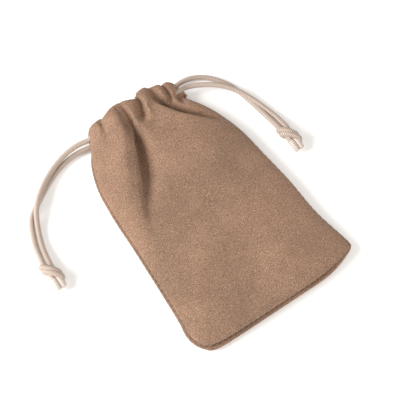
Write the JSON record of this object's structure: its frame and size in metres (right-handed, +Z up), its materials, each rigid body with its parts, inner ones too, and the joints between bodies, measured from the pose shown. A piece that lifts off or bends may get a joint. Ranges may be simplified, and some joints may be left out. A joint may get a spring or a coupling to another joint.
{
  "type": "drawstring gift pouch",
  "caption": "Soft suede gift pouch lying flat, gathered at the mouth by a pair of knotted satin drawstrings that run through a sewn channel.",
  "frame": {"origin": "on the surface that the pouch lies on, under the middle of the pouch's own box, its drawstrings left out", "axes": "+X across the pouch, towards the side where the right drawstring leaves; +Y from the bottom seam to the mouth; +Z up, away from the surface it lies on"},
  "size_m": [0.1568, 0.14, 0.0184],
  "materials": {
    "suede": "fine napped suede, matt",
    "cord": "knitted satin cord, soft shine",
    "thread": "sewing thread, satin"
  },
  "bodies": {
    "pouch": {"front_panel": "suede", "back_panel": "suede", "left_side_seam": "thread", "right_side_seam": "thread", "bottom_seam": "thread", "back_channel": "suede", "back_channel_stitches": "thread"},
    "front_lip": {"front_channel": "suede", "front_channel_stitches": "thread"},
    "left_drawstring": {"left_cord": "cord", "left_knot": "cord", "left_cord_ends": "cord"},
    "right_drawstring": {"right_cord": "cord", "right_knot": "cord", "right_cord_ends": "cord"}
  },
  "joints": [
    {"name": "mouth_opening", "type": "hinge", "parent": "pouch", "child": "front_lip", "pos_m": [0, 0.057, 0.0179], "axis": [1, 0, 0], "range_deg": [0, 20]},
    {"name": "left_drawstring_pull", "type": "slide", "parent": "pouch", "child": "left_drawstring", "axis": [-1, 0, 0], "range_m": [-0.002, 0.01]},
    {"name": "right_drawstring_pull", "type": "slide", "parent": "pouch", "child": "right_drawstring", "axis": [1, 0, 0], "range_m": [-0.002, 0.01]}
  ]
}
